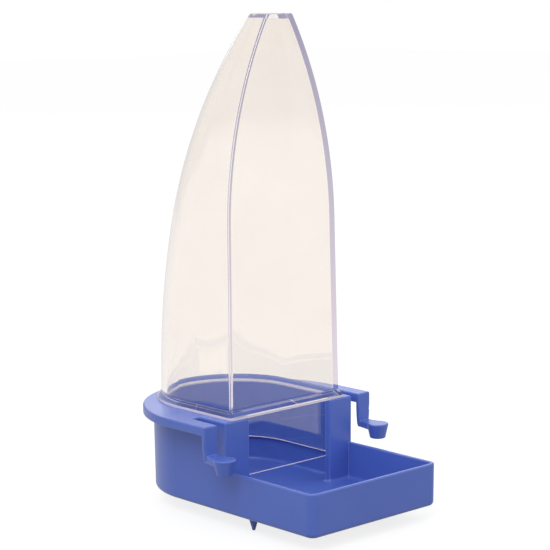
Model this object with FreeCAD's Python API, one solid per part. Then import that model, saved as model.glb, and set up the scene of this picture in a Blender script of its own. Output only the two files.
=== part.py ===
"""Clip-on waterer for a bird cage, in millimetres.

Two mouldings. The blue base is a D-shaped cup with a low drinking trough in
front of it, side arms whose pegs hang over a cage wire, and small pins below.
The clear tower is an ogive bottle of the same D section. Its foot stands on
the cup's rim, and its skirt reaches down into the cup and sets the water level.

Built with the cage plane at y = 0, the trough towards -Y and the trough's
underside at z = 0, then moved so that the middle of the wire is the origin.
"""
import FreeCAD, Part
import math
import os

# Heights above the trough's underside
base_height = 30.4
trough_height = 14.35
total_height = 160.5
skirt_bottom = 10.5
link_top = 20.85

# Clear tower: section at the rim, and the smaller one under the roof
tower_half_width = 24.5
tower_front = 1.9
tower_depth = 51.45
tower_wall = 1.75
tower_corner_radius = 0.7
roof_half_width = 5.6
roof_depth = 11.95
roof_thickness = 1.7

# Lean of the tower's walls, and where they start to curve in
side_draft = 0.012
front_lean = 0.011
side_arc_start = 92.4
back_arc_start = 38.0

# Foot of the tower and the skirt below it
foot_out = 1.3
foot_front_out = 1.7
foot_edge = 0.8
foot_height = 2.7
skirt_inset = 0.5
skirt_clearance = 0.3

# Cup and trough: how far the rim stands out from the tower, and the trough
side_rim = 4.2
back_rim = 1.95
trough_reach = 40.3
trough_corner_radius = 3.0
body_draft = 0.3
bottom_edge_radius = 1.5
rim_edge_radius = 0.5

# Walls of the base
trough_wall = 1.6
floor_thickness = 1.8
cavity_edge_radius = 1.2
post_width = 10.5
post_edge_radius = 0.6

# Flange, and the slotted arms beside the cup
flange_thickness = 3.1
flange_overhang_back = 0.3
slot_width = 3.3
slot_length = 12.5
arm_width = 5.6
arm_edge_radius = 0.5

# Legs, links and the pegs that hold the wire
leg_depth = 1.1
leg_inset = 0.6
leg_curve_start = 1.2
leg_foot_radius = 1.3
link_thickness = 2.15
link_width = 4.0
link_spread = 0.6
peg_top_radius = 3.8
peg_tip_radius = 2.65
peg_height = 5.1
peg_edge_radius = 0.4
wire_gap = 3.8
wire_diameter = 2.5

# Pins under the trough
pin_inset = 5.6
pin_front = 7.0
pin_root_radius = 1.85
pin_tip_radius = 0.6
pin_length = 4.9

# How far a cutting block runs past what it cuts, the least rounding of an
# inner corner, the number of spans up the tower, and what counts as touching
cut_over = 1.0
smallest_radius = 0.3
tower_spans = 20
touch = 0.01

# Places that follow from the sizes above
tower_back = tower_front + tower_depth
body_half_width = tower_half_width + side_rim
body_back = tower_back + back_rim
post_inner_x = body_half_width - post_width
arm_inner_x = body_half_width + slot_width
arm_outer_x = arm_inner_x + arm_width
arm_middle_x = (arm_inner_x + arm_outer_x) / 2.0
peg_y = -(wire_gap + peg_tip_radius)
link_bottom = link_top - link_thickness

V = FreeCAD.Vector


def d_outline(half, front, back, corner, z):
    """Closed D at height z: flat front, straight sides, half-round back.

    The two front corners are rounded by the radius corner.
    """
    arc_y = back - half
    k = corner * (1.0 - math.sqrt(0.5))
    left_front = V(-half + corner, front, z)
    left_mid = V(-half + k, front + k, z)
    left_side = V(-half, front + corner, z)
    right_front = V(half - corner, front, z)
    right_mid = V(half - k, front + k, z)
    right_side = V(half, front + corner, z)
    edges = [
        Part.LineSegment(left_front, right_front).toShape(),
        Part.Arc(right_front, right_mid, right_side).toShape(),
        Part.LineSegment(right_side, V(half, arc_y, z)).toShape(),
        Part.Arc(V(half, arc_y, z), V(0, back, z), V(-half, arc_y, z)).toShape(),
        Part.LineSegment(V(-half, arc_y, z), left_side).toShape(),
        Part.Arc(left_side, left_mid, left_front).toShape(),
    ]
    return Part.Wire(edges)


def prism(wire, height):
    """Solid raised straight up from a closed flat wire."""
    return Part.Face(wire).extrude(V(0, 0, height))


def box(x_low, x_high, y_low, y_high, z_low, z_high):
    """Box between two corners."""
    size = V(x_high - x_low, y_high - y_low, z_high - z_low)
    return Part.makeBox(size.x, size.y, size.z, V(x_low, y_low, z_low))


def edges_at(shape, test):
    """Edges of a shape whose every vertex and middle passes the test."""
    found = []
    for edge in shape.Edges:
        middle = edge.valueAt((edge.FirstParameter + edge.LastParameter) / 2.0)
        points = [v.Point for v in edge.Vertexes] + [middle]
        if all(test(p) for p in points):
            found.append(edge)
    return found


def mirrored(shape):
    """The same shape on the other side of the middle plane."""
    return shape.mirror(V(0, 0, 0), V(1, 0, 0))


def arc_sag(run, full_run, full_sag):
    """Fall of an arc after a run, where the whole arc falls full_sag over full_run."""
    radius = (full_run ** 2 + full_sag ** 2) / (2.0 * full_sag)
    return radius - math.sqrt(radius ** 2 - run ** 2)


def base_shell():
    """Outside of cup and trough as one drafted block with a rounded underside."""
    radius = trough_corner_radius
    low = d_outline(body_half_width - body_draft, body_draft - trough_reach,
                    body_back - body_draft, radius, 0.0)
    high = d_outline(body_half_width, -trough_reach, body_back, radius, base_height)
    block = Part.makeLoft([low, high], True, True)
    under = edges_at(block, lambda p: abs(p.z) < touch)
    block = block.makeFillet(bottom_edge_radius, under)
    above_trough = box(-body_half_width - cut_over, body_half_width + cut_over,
                       -trough_reach - cut_over, 0.0, trough_height, base_height + cut_over)
    return block.cut(above_trough)


def base_cavity():
    """Inside of the base: trough, cup and the window between the two posts."""
    inner_x = body_half_width - trough_wall
    inner_front = trough_wall - trough_reach
    inner_radius = max(trough_corner_radius - trough_wall, smallest_radius)
    top = base_height + cut_over
    trough = box(-inner_x, inner_x, inner_front, 0.0, floor_thickness, top)
    corners = edges_at(trough, lambda p: abs(p.y - inner_front) < touch and abs(abs(p.x) - inner_x) < touch)
    trough = trough.makeFillet(inner_radius, corners)
    inset = skirt_inset - skirt_clearance
    cup_front = tower_front + inset
    cup = prism(d_outline(tower_half_width - inset, cup_front, tower_back - inset,
                          tower_corner_radius, floor_thickness), top - floor_thickness)
    window = box(-post_inner_x, post_inner_x, -cut_over, cup_front + cut_over, floor_thickness, top)
    cavity = trough.fuse([cup, window]).removeSplitter()
    floor_edges = edges_at(cavity, lambda p: abs(p.z - floor_thickness) < touch)
    return cavity.makeFillet(cavity_edge_radius, floor_edges)


def flange():
    """Plate with a half-round back, slotted beside the cup's front, without the arms' ends."""
    z = base_height - flange_thickness
    back = body_back + flange_overhang_back
    right = V(arm_outer_x, back - arm_outer_x, z)
    left = V(-arm_outer_x, back - arm_outer_x, z)
    right_front = V(arm_outer_x, 0, z)
    left_front = V(-arm_outer_x, 0, z)
    edges = [
        Part.Arc(right, V(0, back, z), left).toShape(),
        Part.LineSegment(left, left_front).toShape(),
        Part.LineSegment(left_front, right_front).toShape(),
        Part.LineSegment(right_front, right).toShape(),
    ]
    plate = prism(Part.Wire(edges), flange_thickness)
    slot = box(body_half_width - body_draft, arm_inner_x, -cut_over, slot_length,
               z - cut_over, base_height + cut_over)
    arm_end = box(arm_inner_x - touch, arm_outer_x + cut_over, -cut_over, leg_depth,
                  z - cut_over, base_height + cut_over)
    return plate.cut([slot, mirrored(slot), arm_end, mirrored(arm_end)])


def leg_fall(z):
    """How far each side of the leg has curved in at height z."""
    start = base_height - flange_thickness - leg_curve_start
    return arc_sag(max(start - z, 0.0), start - link_bottom, leg_inset)


def right_leg():
    """Front slab of the right-hand arm, which narrows downwards into the leg."""
    start = base_height - flange_thickness - leg_curve_start
    half_way = (start + link_bottom) / 2.0
    inside = [V(arm_inner_x + leg_fall(z), 0, z) for z in (link_bottom, half_way, start, base_height)]
    outside = [V(arm_inner_x + arm_outer_x - p.x, 0, p.z) for p in inside]
    edges = [
        Part.Arc(inside[0], inside[1], inside[2]).toShape(),
        Part.LineSegment(inside[2], inside[3]).toShape(),
        Part.LineSegment(inside[3], outside[3]).toShape(),
        Part.LineSegment(outside[3], outside[2]).toShape(),
        Part.Arc(outside[2], outside[1], outside[0]).toShape(),
        Part.LineSegment(outside[0], inside[0]).toShape(),
    ]
    leg = Part.Face(Part.Wire(edges)).extrude(V(0, leg_depth, 0))
    foot = edges_at(leg, lambda p: abs(p.z - link_bottom) < touch
                    and min(abs(p.x - inside[0].x), abs(p.x - outside[0].x)) < touch)
    leg = leg.makeFillet(leg_foot_radius, foot)
    front = edges_at(leg, lambda p: abs(p.y) < touch)
    sides = [e for e in front if min(v.Z for v in e.Vertexes) < base_height - touch
             and max(v.Z for v in e.Vertexes) > link_top]
    return leg.makeFillet(arm_edge_radius, sides)


def hanger():
    """Right-hand leg, and the link and peg in front of it that hold the cage wire."""
    near = link_width / 2.0
    far = peg_top_radius - link_spread
    corners = [V(arm_middle_x - near, leg_depth, link_bottom), V(arm_middle_x - near, 0, link_bottom),
               V(arm_middle_x - far, peg_y, link_bottom), V(arm_middle_x + far, peg_y, link_bottom),
               V(arm_middle_x + near, 0, link_bottom), V(arm_middle_x + near, leg_depth, link_bottom)]
    link = prism(Part.makePolygon(corners + corners[:1]), link_thickness)
    peg = Part.makeCone(peg_tip_radius, peg_top_radius, peg_height,
                        V(arm_middle_x, peg_y, link_top - peg_height))
    held = link.fuse(peg).removeSplitter()
    tip = edges_at(held, lambda p: abs(p.z - link_top + peg_height) < touch)
    top = edges_at(held, lambda p: abs(p.z - link_top) < touch and p.y < leg_depth - touch)
    return right_leg().fuse(held.makeFillet(peg_edge_radius, tip + top))


def trough_pin():
    """Right-hand tapered pin with a rounded tip under the trough."""
    pin_x = body_half_width - pin_inset
    root = V(pin_x, -pin_front, floor_thickness / 2.0)
    height = floor_thickness / 2.0 + pin_length - pin_tip_radius
    taper = (pin_root_radius - pin_tip_radius) / (pin_length - pin_tip_radius)
    root_radius = pin_root_radius + taper * floor_thickness / 2.0
    shank = Part.makeCone(root_radius, pin_tip_radius, height, root, V(0, 0, -1))
    tip = Part.makeSphere(pin_tip_radius, V(pin_x, -pin_front, pin_tip_radius - pin_length))
    return shank.fuse(tip)


def round_posts(solid):
    """Rounds the posts' front edges at the top and beside the window."""
    top_edges = edges_at(solid, lambda p: abs(p.z - base_height) < touch and abs(p.y) < touch
                         and post_inner_x - touch < abs(p.x) < body_half_width + touch)
    side_edges = edges_at(solid, lambda p: abs(p.y) < touch and abs(abs(p.x) - post_inner_x) < touch)
    return solid.makeFillet(post_edge_radius, top_edges + side_edges)


def round_trough_rim(solid):
    """Rounds both top edges of the trough's wall and the posts' outer corners above it."""
    rim_edges = edges_at(solid, lambda p: abs(p.z - trough_height) < touch and p.y < touch)
    rim_edges = [e for e in rim_edges if any(v.Y < -trough_wall for v in e.Vertexes)]
    corners = edges_at(solid, lambda p: abs(p.y) < touch and p.z > trough_height - touch
                       and body_half_width - body_draft < abs(p.x) < body_half_width + touch)
    corners = [e for e in corners if abs(e.Vertexes[0].Z - e.Vertexes[-1].Z) > post_edge_radius]
    return solid.makeFillet(min(rim_edge_radius, trough_wall / 3.0), rim_edges + corners)


def round_arms(solid):
    """Rounds the flange's outline above and below, and the arms' and slots' top edges."""
    flange_bottom = base_height - flange_thickness
    centre_y = body_back + flange_overhang_back - arm_outer_x

    def on_outline(p):
        if p.y < centre_y:
            return abs(abs(p.x) - arm_outer_x) < touch
        return abs(math.hypot(p.x, p.y - centre_y) - arm_outer_x) < touch

    def at_top(p):
        return abs(p.z - base_height) < touch

    def beside_slot(p):
        return p.y < slot_length + touch and body_half_width - touch < abs(p.x) < arm_inner_x + touch

    def on_arm_front(p):
        return abs(p.y) < touch and p.z > link_bottom and arm_inner_x - touch < abs(p.x)

    found = edges_at(solid, lambda p: at_top(p) and (on_outline(p) or beside_slot(p) or on_arm_front(p)))
    found = [e for e in found if any(v.Y > touch or abs(v.X) > arm_inner_x - touch for v in e.Vertexes)]
    found += edges_at(solid, lambda p: abs(p.z - flange_bottom) < touch and on_outline(p))
    return solid.makeFillet(arm_edge_radius, found)


def make_base():
    """The blue moulding."""
    right = hanger()
    pin = trough_pin()
    solid = base_shell().fuse([flange(), right, mirrored(right), pin, mirrored(pin)])
    solid = solid.cut(base_cavity()).removeSplitter()
    return round_trough_rim(round_arms(round_posts(solid)))


def tower_section(z, inset):
    """D section of the tower at height z, moved inwards by inset all round."""
    rise = max(z - base_height, 0.0)
    full_rise = total_height - base_height
    side_sag = tower_half_width - side_draft * full_rise - roof_half_width
    back_sag = tower_back - (tower_front + front_lean * full_rise + roof_depth)
    side_run = max(z - side_arc_start, 0.0)
    back_run = max(z - back_arc_start, 0.0)
    half = tower_half_width - side_draft * rise
    half -= arc_sag(side_run, total_height - side_arc_start, side_sag)
    back = tower_back - arc_sag(back_run, total_height - back_arc_start, back_sag)
    front = tower_front + front_lean * rise
    corner = max(tower_corner_radius - inset, smallest_radius)
    return d_outline(half - inset, front + inset, back - inset, corner, z)


def tower_levels(top):
    """Heights of the sections, evenly spaced from the rim to the top."""
    span = (top - base_height) / tower_spans
    return [base_height + span * i for i in range(tower_spans + 1)]


def make_tower():
    """The clear moulding: ogive shell, flat roof, flared foot and skirt."""
    outside = Part.makeLoft([tower_section(z, 0.0) for z in tower_levels(total_height)], True, False)
    inner_top = total_height - roof_thickness
    hollow = Part.makeLoft([tower_section(z, tower_wall) for z in tower_levels(inner_top)], True, False)
    foot_low = d_outline(tower_half_width + foot_out, tower_front - foot_front_out,
                         tower_back + foot_out, tower_corner_radius + foot_out, base_height)
    foot_mid = foot_low.copy()
    foot_mid.translate(V(0, 0, foot_edge))
    foot_high = d_outline(tower_half_width, tower_front, tower_back,
                          tower_corner_radius, base_height + foot_height)
    foot = prism(foot_low, foot_edge)
    flare = Part.makeLoft([foot_mid, foot_high], True, True)
    skirt = prism(tower_section(skirt_bottom, skirt_inset), base_height - skirt_bottom)
    bore = prism(tower_section(skirt_bottom - cut_over, tower_wall), base_height - skirt_bottom + cut_over)
    shell = outside.fuse([foot, flare, skirt])
    return shell.cut([hollow, bore]).removeSplitter()


os.makedirs("parts", exist_ok=True)
wire_y = -wire_gap / 2.0
wire_z = link_bottom - wire_diameter / 2.0
for name, shape in (("base", make_base()), ("water_tower", make_tower())):
    solid = shape.Solids[0]
    solid.translate(V(0, -wire_y, -wire_z))
    solid.exportStep("parts/" + name + ".step")
    box_now = solid.BoundBox
    print(name, "solids", len(shape.Solids), "valid", solid.isValid(), "volume", round(solid.Volume, 1),
          "x", round(box_now.XMin, 2), round(box_now.XMax, 2), "y", round(box_now.YMin, 2),
          round(box_now.YMax, 2), "z", round(box_now.ZMin, 2), round(box_now.ZMax, 2))
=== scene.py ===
import bpy
import numpy as np
from mathutils import Matrix, Vector


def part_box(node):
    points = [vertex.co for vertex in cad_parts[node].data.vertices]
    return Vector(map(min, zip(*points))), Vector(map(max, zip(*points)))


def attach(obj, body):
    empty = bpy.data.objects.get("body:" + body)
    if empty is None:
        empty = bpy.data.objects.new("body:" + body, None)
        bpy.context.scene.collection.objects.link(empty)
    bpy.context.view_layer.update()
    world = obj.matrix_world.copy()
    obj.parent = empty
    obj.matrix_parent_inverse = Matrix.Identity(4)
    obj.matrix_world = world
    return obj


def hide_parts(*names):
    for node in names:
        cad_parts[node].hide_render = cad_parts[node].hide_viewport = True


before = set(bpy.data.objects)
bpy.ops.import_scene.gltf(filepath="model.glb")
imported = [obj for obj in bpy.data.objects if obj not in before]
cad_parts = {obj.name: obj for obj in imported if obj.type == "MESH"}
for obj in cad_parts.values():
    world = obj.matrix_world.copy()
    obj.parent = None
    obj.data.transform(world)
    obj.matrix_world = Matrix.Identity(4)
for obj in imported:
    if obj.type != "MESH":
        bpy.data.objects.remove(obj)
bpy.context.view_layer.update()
scene = bpy.context.scene


# The view: a long lens from the trough's left, a little above the rim, so that
# the bottle's flat front and its curved flank are seen about equally.
camera_place = Vector((-0.41163, -0.44072, 0.15402))
camera_azimuth = np.radians(-42.483)
camera_pitch = np.radians(9.0225)
camera_roll = np.radians(-0.5775)
focal_pixels = 1864.54
picture_pixels = 550

forward = Vector((-np.sin(camera_azimuth) * np.cos(camera_pitch),
                  np.cos(camera_azimuth) * np.cos(camera_pitch), -np.sin(camera_pitch)))
level = Vector((np.cos(camera_azimuth), np.sin(camera_azimuth), 0.0))
upright = level.cross(forward)
across = level * np.cos(camera_roll) + upright * np.sin(camera_roll)
upward = upright * np.cos(camera_roll) - level * np.sin(camera_roll)

camera_data = bpy.data.cameras.new("camera")
camera_data.sensor_width = 36.0
camera_data.lens = focal_pixels / picture_pixels * camera_data.sensor_width
camera_data.clip_end = 10.0
camera = bpy.data.objects.new("camera", camera_data)
scene.collection.objects.link(camera)
turn = Matrix((across, upward, -forward)).transposed()
camera.matrix_world = Matrix.Translation(camera_place) @ turn.to_4x4()
scene.camera = camera
scene.view_settings.view_transform = "Standard"


# The base: cup, trough, posts, flange and hooks in one blue ABS moulding, satin
# from a mould with a fine matt finish. The pigment is even but for faint flow
# bands, and the rounded edges are painted paler as thin lines of highlight.
def linear(hex_colour):
    """sRGB hex colour as linear red, green, blue and alpha.

    Each channel c is (c / 12.92) when low, otherwise ((c + 0.055) / 1.055) ** 2.4.
    """
    channels = np.array([int(hex_colour[i:i + 2], 16) for i in (1, 3, 5)]) / 255.0
    low = channels / 12.92
    high = ((channels + 0.055) / 1.055) ** 2.4
    return (*np.where(channels <= 0.04045, low, high), 1.0)


def add_node(tree, kind, settings=None, links=None):
    """A shader node with its settings and inputs, and the links that feed it.

    A name in lower case is a setting of the node, any other name is an input.
    """
    node = tree.nodes.new(kind)
    for name, value in (settings or {}).items():
        if str(name).islower():
            setattr(node, name, value)
        else:
            node.inputs[name].default_value = value
    for name, source in (links or {}).items():
        tree.links.new(source, node.inputs[name])
    return node


def new_material(name):
    """An empty material and its node tree, with only the output node in it."""
    material = bpy.data.materials.new(name)
    material.use_nodes = True
    tree = material.node_tree
    tree.nodes.clear()
    return material, tree, tree.nodes.new("ShaderNodeOutputMaterial")


blue_pigment = "#4661B7"
blue_pigment_flow = "#506ABF"
# Painted highlight: the pale blue given to the rounded edges, and how wide and strong it is.
painted_edge_highlight = "#93A8DE"
painted_highlight_width = 0.0005
painted_highlight_share = 0.5
flow_band_size = 0.018
least_roughness, most_roughness = 0.26, 0.40
# The mould's grain is finer than 0.1 mm and is drawn at 0.4 mm, so that it shows.
mould_grain_size = 0.0004
mould_grain_depth = 0.00002

blue_abs, tree, output = new_material("blue_abs_satin_moulded")
place = add_node(tree, "ShaderNodeTexCoord").outputs["Object"]
flow = add_node(tree, "ShaderNodeTexNoise",
                {"Scale": 1.0 / flow_band_size, "Detail": 3.0, "Distortion": 0.8}, {"Vector": place})
pigment = add_node(tree, "ShaderNodeMix",
                   {"data_type": "RGBA", 6: linear(blue_pigment), 7: linear(blue_pigment_flow)},
                   {0: flow.outputs["Fac"]})
grain = add_node(tree, "ShaderNodeTexNoise", {"Scale": 1.0 / mould_grain_size, "Detail": 2.0},
                 {"Vector": place})
relief = add_node(tree, "ShaderNodeBump", {"Strength": 0.25, "Distance": mould_grain_depth},
                  {"Height": grain.outputs["Fac"]})
gloss = add_node(tree, "ShaderNodeMapRange", {"To Min": least_roughness, "To Max": most_roughness},
                 {"Value": flow.outputs["Fac"]})
# The rounded edges, found where the bevelled normal turns from the flat one, get the painted highlight
# colour.
rounded = add_node(tree, "ShaderNodeBevel", {"samples": 6, "Radius": painted_highlight_width})
flat = add_node(tree, "ShaderNodeNewGeometry")
agreement = add_node(tree, "ShaderNodeVectorMath", {"operation": "DOT_PRODUCT"},
                     {0: rounded.outputs["Normal"], 1: flat.outputs["Normal"]})
edge = add_node(tree, "ShaderNodeMapRange", {"From Min": 0.995, "From Max": 0.90, "To Max": painted_highlight_share},
                {"Value": agreement.outputs["Value"]})
edged = add_node(tree, "ShaderNodeMix", {"data_type": "RGBA", 7: linear(painted_edge_highlight)},
                 {0: edge.outputs["Result"], 6: pigment.outputs[2]})
surface = add_node(tree, "ShaderNodeBsdfPrincipled", {"IOR": 1.53},
                   {"Base Color": edged.outputs[2], "Roughness": gloss.outputs["Result"],
                    "Normal": relief.outputs["Normal"]})
tree.links.new(surface.outputs["BSDF"], output.inputs["Surface"])

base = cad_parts["base"]
base.data.materials.clear()
base.data.materials.append(blue_abs)


# The tower: one clear polystyrene moulding that stands loose on the cup's rim,
# an ogive bottle of D section with a flat roof, a flared foot and a thin skirt.
# The polished mould leaves it water clear, and the violet light its edges gather is painted in as a glow.

# Sizes in millimetres, with z from the trough's underside. tower_place moves
# them to where the part's frame has the tower.
tower_place = np.array([0.0, 1.9, -17.45])
rim_height, tower_top = 30.4, 160.5
wall_half, wall_front, wall_back = 24.5, 1.9, 53.35
roof_half, roof_depth = 5.6, 11.95
side_draft, front_lean = 0.012, 0.011
side_arc_start, back_arc_start = 92.4, 38.0
corner_radius, least_radius = 0.45, 0.25
foot_out, foot_front_share = 1.3, 1.7 / 1.3
flare_top, foot_top = 33.1, 31.2
skirt_out, skirt_end = -0.5, 10.5
bore_out, roof_inner = -1.75, 158.8
roof_hem, inner_roof_hem = -0.9, -2.6


def arc_fall(run, full_run, full_fall):
    """How far an arc has fallen after a run, if it falls full_fall over full_run.

    The circle's radius is (full_run^2 + full_fall^2) / (2 full_fall), and the
    fall is radius - sqrt(radius^2 - run^2), with no fall before the arc starts.
    """
    radius = (full_run ** 2 + full_fall ** 2) / (2.0 * full_fall)
    return radius - np.sqrt(radius ** 2 - np.maximum(run, 0.0) ** 2)


def tower_sizes(z, out):
    """Half width, front, back and corner radius of the D at height z, moved out by out.

    The sides and front lean in by their draft, and the sides and back then
    fall along circular arcs that meet the roof's own sizes at the top.
    """
    rise = np.maximum(z - rim_height, 0.0)
    full_rise = tower_top - rim_height
    side_fall = wall_half - side_draft * full_rise - roof_half
    back_fall = wall_back - (wall_front + front_lean * full_rise + roof_depth)
    side_run = tower_top - side_arc_start
    half = wall_half - side_draft * rise - arc_fall(z - side_arc_start, side_run, side_fall)
    back = wall_back - arc_fall(z - back_arc_start, tower_top - back_arc_start, back_fall)
    front = wall_front + front_lean * rise - np.where(out > 0.0, foot_front_share, 1.0) * out
    corner = np.maximum(corner_radius + out, least_radius)
    return half + out, front, back + out, corner


def eased(corners, radii, steps):
    """Each corner of a profile as a short parabola that leaves and meets its two runs.

    With A and C the points a tangent length before and after the corner P, the
    parabola is (1-s)^2 A + 2 s (1-s) P + s^2 C, for s from 0 to 1.
    """
    before, at, after = corners[:-2], corners[1:-1], corners[2:]
    way_in = (at - before) / np.linalg.norm(at - before, axis=1)[:, None]
    way_out = (after - at) / np.linalg.norm(after - at, axis=1)[:, None]
    turn = np.arccos(np.clip((way_in * way_out).sum(1), -1.0, 1.0))
    reach = (radii * np.tan(turn / 2.0))[:, None]
    s = np.linspace(0.0, 1.0, steps)[None, :, None]
    first, last = (at - way_in * reach)[:, None], (at + way_out * reach)[:, None]
    return (1 - s) ** 2 * first + 2 * s * (1 - s) * at[:, None] + s ** 2 * last


def d_columns(half, front, back, corner):
    """Points of D outlines from the front's middle round by the right.

    They are the flat front, a quarter circle at the corner, the straight side
    and a quarter of the round back. The left half is the right half mirrored.
    """
    row = [np.asarray(v)[:, None] for v in (half, front, back, corner)]
    half, front, back, corner = row
    flat = np.linspace(0.0, 1.0, 17)[None, :-1]
    bend = np.linspace(0.0, np.pi / 2, 7)[None, :-1]
    side = np.linspace(0.0, 1.0, 13)[None, :-1]
    arc = np.linspace(0.0, np.pi / 2, 41)[None, :]
    side_start, side_stop = front + corner, back - half
    x = np.hstack([flat * (half - corner), half - corner + corner * np.sin(bend),
                   half + 0.0 * side, half * np.cos(arc)])
    y = np.hstack([front + 0.0 * flat, front + corner - corner * np.cos(bend),
                   side_start + side * (side_stop - side_start), side_stop + half * np.sin(arc)])
    return np.hstack([x, -x[:, -2:0:-1]]), np.hstack([y, y[:, -2:0:-1]])


# The wall's profile from the roof down the outside and up the bore, as the way
# out from the bottle's outside and the height. Its nine runs are the roof, the
# outside, the flare, the foot's face and underside, the skirt and its end, the
# bore and the inner roof.
profile = np.array([(roof_hem, tower_top), (0.0, tower_top), (0.0, flare_top), (foot_out, foot_top),
                    (foot_out, rim_height), (skirt_out, rim_height), (skirt_out, skirt_end),
                    (bore_out, skirt_end), (bore_out, roof_inner), (inner_roof_hem, roof_inner)])
run_rows = [1, 90, 3, 1, 3, 10, 1, 100, 1]
foot_face, skirt_face = 3, 6
ease_radii = np.array([0.3, 0.3, 0.15, 0.12, 0.15, 0.15, 0.15, 0.3])
bends = eased(profile, ease_radii, 5)
run_starts = np.vstack([profile[:1], bends[:, -1]])
run_stops = np.vstack([bends[:, 0], profile[-1:]])
path, kinds = [], []
for i, rows in enumerate(run_rows):
    path.append(np.linspace(run_starts[i], run_stops[i], rows + 1))
    kinds.append(np.full(rows + 1, i))
    if i < len(bends):
        path.append(bends[i][1:-1])
        kinds.append(np.full(len(bends[i]) - 2, i + 0.5))
path, kinds = np.vstack(path), np.concatenate(kinds)
out, z = path[:, 0], path[:, 1]
x, y = d_columns(*tower_sizes(z, out))
points = np.stack([x, y, np.broadcast_to(z[:, None], x.shape)], axis=-1) + tower_place
rows, columns = x.shape
number = np.arange(rows * columns).reshape(rows, columns)
beside = np.roll(number, -1, axis=1)
walls = np.stack([number[:-1], number[1:], beside[1:], beside[:-1]], axis=-1).reshape(-1, 4)
faces = walls.tolist() + [number[0].tolist(), number[-1, ::-1].tolist()]
tower_mesh = bpy.data.meshes.new("clear_tower")
tower_mesh.from_pydata((points.reshape(-1, 3) * 0.001).tolist(), [], faces)
tower_mesh.polygons.foreach_set("use_smooth", np.ones(len(faces), bool))
# Rows of the foot's face and the skirt's end, which get the painted pale white of gathered light.
row_kind = np.maximum(kinds[:-1], kinds[1:])
end_face = (np.abs(row_kind - foot_face) <= 0.5) | (np.abs(row_kind - skirt_face) <= 0.5)
slots = np.append(np.repeat(end_face, columns), [False, False]).astype(np.int32)
tower_mesh.polygons.foreach_set("material_index", slots)
tower_mesh.update()

clear_tint = "#FCFAF8"
hazy_tint = "#FAF7F5"
haze_patch_size = 0.016
# Colours of the painted glow for light trapped in the wall: violet high up, paler low down, and a painted
# reflection of the blue rim at the foot.
painted_glow_top = "#9D98B6"
painted_glow_mid = "#BFBACB"
painted_glow_low = "#E4DAE6"
painted_rim_reflection = "#6271B2"
painted_glow_from, painted_glow_to = 0.013, 0.1425
most_inner_bounces = 2.5


def lets_lamps_through(tree, clear_shader):
    """Adds to a clear shader what Cycles can't carry through glass by itself.

    Lamps and diffuse rays pass straight through. Light that has been mirrored
    inside the wall more than twice is replaced by a painted violet glow, paler
    lower down, and by a painted blue reflection of the rim just above the rim.
    """
    path = add_node(tree, "ShaderNodeLightPath").outputs
    lamp = add_node(tree, "ShaderNodeMath", {"operation": "MAXIMUM"},
                    {0: path["Is Shadow Ray"], 1: path["Is Diffuse Ray"]})
    trapped = add_node(tree, "ShaderNodeMath", {"operation": "GREATER_THAN", 1: most_inner_bounces},
                       {0: path["Glossy Depth"]})
    place = add_node(tree, "ShaderNodeTexCoord").outputs["Object"]
    height = add_node(tree, "ShaderNodeSeparateXYZ", {}, {0: place}).outputs["Z"]
    level = add_node(tree, "ShaderNodeMapRange", {"From Min": painted_glow_from, "From Max": painted_glow_to},
                     {"Value": height})
    ramp = add_node(tree, "ShaderNodeValToRGB", {}, {0: level.outputs["Result"]})
    ramp.color_ramp.elements[0].color = linear(painted_rim_reflection)
    ramp.color_ramp.elements[1].color = linear(painted_glow_top)
    for stop, colour in ((0.008, painted_rim_reflection), (0.016, painted_glow_low), (0.6, painted_glow_mid)):
        ramp.color_ramp.elements.new(stop).color = linear(colour)
    # The trapped light is painted as an emission rather than carried by the glass.
    glow = add_node(tree, "ShaderNodeEmission", {}, {"Color": ramp.outputs["Color"]})
    inner = add_node(tree, "ShaderNodeMixShader", {},
                     {0: trapped.outputs[0], 1: clear_shader, 2: glow.outputs[0]})
    straight = add_node(tree, "ShaderNodeBsdfTransparent")
    mixed = add_node(tree, "ShaderNodeMixShader", {},
                     {0: lamp.outputs[0], 1: inner.outputs[0], 2: straight.outputs[0]})
    return mixed.outputs[0]


clear_ps, tree, output = new_material("clear_polystyrene_polished_moulded")
place = add_node(tree, "ShaderNodeTexCoord").outputs["Object"]
haze = add_node(tree, "ShaderNodeTexNoise", {"Scale": 1.0 / haze_patch_size, "Detail": 4.0},
                {"Vector": place})
haze_share = add_node(tree, "ShaderNodeMapRange", {"From Min": 0.35, "From Max": 0.75},
                      {"Value": haze.outputs["Fac"]})
tint = add_node(tree, "ShaderNodeMix", {"data_type": "RGBA", 6: linear(clear_tint), 7: linear(hazy_tint)},
                {0: haze_share.outputs["Result"]})
surface = add_node(tree, "ShaderNodeBsdfPrincipled",
                   {"IOR": 1.59, "Roughness": 0.0, "Transmission Weight": 1.0},
                   {"Base Color": tint.outputs[2]})
tree.links.new(lets_lamps_through(tree, surface.outputs["BSDF"]), output.inputs["Surface"])

# The foot's edge and the skirt's end gather the light that runs down the wall;
# that light is painted on them as a pale, mostly opaque white.
painted_end_light = "#E9DFE6"
painted_end_light_ps, tree, output = new_material("clear_polystyrene_painted_bright_edge")
surface = add_node(tree, "ShaderNodeBsdfPrincipled",
                   {"IOR": 1.59, "Roughness": 0.3, "Transmission Weight": 0.25,
                    "Base Color": linear(painted_end_light)})
tree.links.new(surface.outputs["BSDF"], output.inputs["Surface"])

tower_mesh.materials.append(clear_ps)
tower_mesh.materials.append(painted_end_light_ps)
clear_tower = bpy.data.objects.new("clear_tower", tower_mesh)
scene.collection.objects.link(clear_tower)
clear_tower.modifiers.new("even_normals", "WEIGHTED_NORMAL")
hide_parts("water_tower")
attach(clear_tower, "tower")


# The room: a white table that carries on up into a white background, with a
# large soft lamp high on the left, a weaker one at the front right, and two
# behind that whiten the flange's top and the body's left edge.
warm_room = "#FFFAF4"
mirrored_share = 0.74
through_share = 0.93


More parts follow.
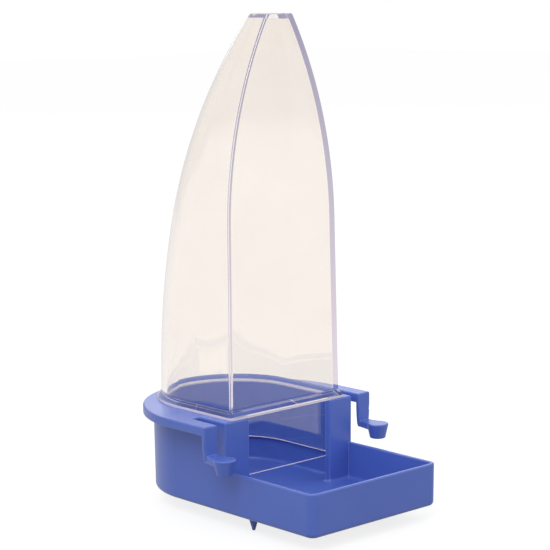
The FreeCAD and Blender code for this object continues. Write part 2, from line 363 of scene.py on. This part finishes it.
def white_seen(tree):
    """How much of the white a ray sees, whether it sees the room at all, and in what hue.

    Rays from the camera see all of it, rays through the clear wall a little
    less. Mirrored rays see the darker, warmer room on the camera's side,
    unless they were mirrored often inside the wall.
    """
    path = add_node(tree, "ShaderNodeLightPath").outputs
    mirrored = add_node(tree, "ShaderNodeMath", {"operation": "MULTIPLY", 1: mirrored_share},
                        {0: path["Is Glossy Ray"]})
    through = add_node(tree, "ShaderNodeMath", {"operation": "MULTIPLY", 1: through_share},
                       {0: path["Is Transmission Ray"]})
    often = add_node(tree, "ShaderNodeMath", {"operation": "GREATER_THAN", 1: 1.5},
                     {0: path["Glossy Depth"]})
    share = path["Is Camera Ray"]
    for other in (mirrored, through, often):
        largest = add_node(tree, "ShaderNodeMath", {"operation": "MAXIMUM"}, {0: share, 1: other.outputs[0]})
        share = largest.outputs[0]
    seen = add_node(tree, "ShaderNodeMath", {"operation": "GREATER_THAN", 1: 0.0}, {0: share}).outputs[0]
    once = add_node(tree, "ShaderNodeMath", {"operation": "SUBTRACT", "use_clamp": True},
                    {0: path["Is Glossy Ray"], 1: often.outputs[0]})
    hue = add_node(tree, "ShaderNodeMix", {"data_type": "RGBA", 6: linear("#FFFFFF"), 7: linear(warm_room)},
                   {0: once.outputs[0]}).outputs[2]
    return share, seen, hue


table_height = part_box("base")[0].z
table_reach = 3.0
table_reflects = 0.22
table_glows = 0.81

table_paper, tree, output = new_material("white_table_paper")
paper = add_node(tree, "ShaderNodeBsdfDiffuse", {"Color": (*[table_reflects] * 3, 1.0)})
share, _, hue = white_seen(tree)
lift = add_node(tree, "ShaderNodeMath", {"operation": "MULTIPLY", 1: table_glows}, {0: share})
glow = add_node(tree, "ShaderNodeEmission", {}, {"Color": hue, "Strength": lift.outputs[0]})
both = add_node(tree, "ShaderNodeAddShader", {}, {0: paper.outputs[0], 1: glow.outputs[0]})
tree.links.new(both.outputs[0], output.inputs["Surface"])

table_mesh = bpy.data.meshes.new("table")
table_corners = [(-table_reach, -table_reach, table_height), (table_reach, -table_reach, table_height),
                 (table_reach, table_reach, table_height), (-table_reach, table_reach, table_height)]
table_mesh.from_pydata(table_corners, [], [(0, 1, 2, 3)])
table_mesh.materials.append(table_paper)
table = bpy.data.objects.new("table", table_mesh)
scene.collection.objects.link(table)

room_fill = 0.80
room = bpy.data.worlds.new("room")
scene.world = room
room.use_nodes = True
tree = room.node_tree
tree.nodes.clear()
share, seen, hue = white_seen(tree)
white = add_node(tree, "ShaderNodeMapRange", {"To Min": table_reflects, "To Max": 1.0}, {"Value": share})
amount = add_node(tree, "ShaderNodeMix", {"data_type": "FLOAT", 2: room_fill},
                  {0: seen, 3: white.outputs["Result"]})
sky = add_node(tree, "ShaderNodeBackground", {}, {"Color": hue, "Strength": amount.outputs[0]})
world_output = tree.nodes.new("ShaderNodeOutputWorld")
tree.links.new(sky.outputs[0], world_output.inputs["Surface"])


def add_lamp(name, place, aim, size, watts):
    """A square soft lamp that faces aim and isn't seen itself through the clear wall."""
    data = bpy.data.lights.new(name, "AREA")
    data.size = size
    data.energy = watts
    lamp = bpy.data.objects.new(name, data)
    scene.collection.objects.link(lamp)
    lamp.visible_transmission = False
    lamp.location = place
    lamp.rotation_euler = (Vector(aim) - Vector(place)).to_track_quat("-Z", "Y").to_euler()


middle = (0.0, 0.01, 0.05)
add_lamp("key_lamp", (-0.9, -0.5, 1.1), middle, 0.8, 9.0)
add_lamp("fill_lamp", (0.7, -1.1, 0.6), middle, 0.9, 2.5)
add_lamp("back_lamp", (0.8, 1.2, 0.85), middle, 1.1, 5.0)
add_lamp("side_lamp", (-1.3, 0.8, 0.45), middle, 0.9, 2.4)
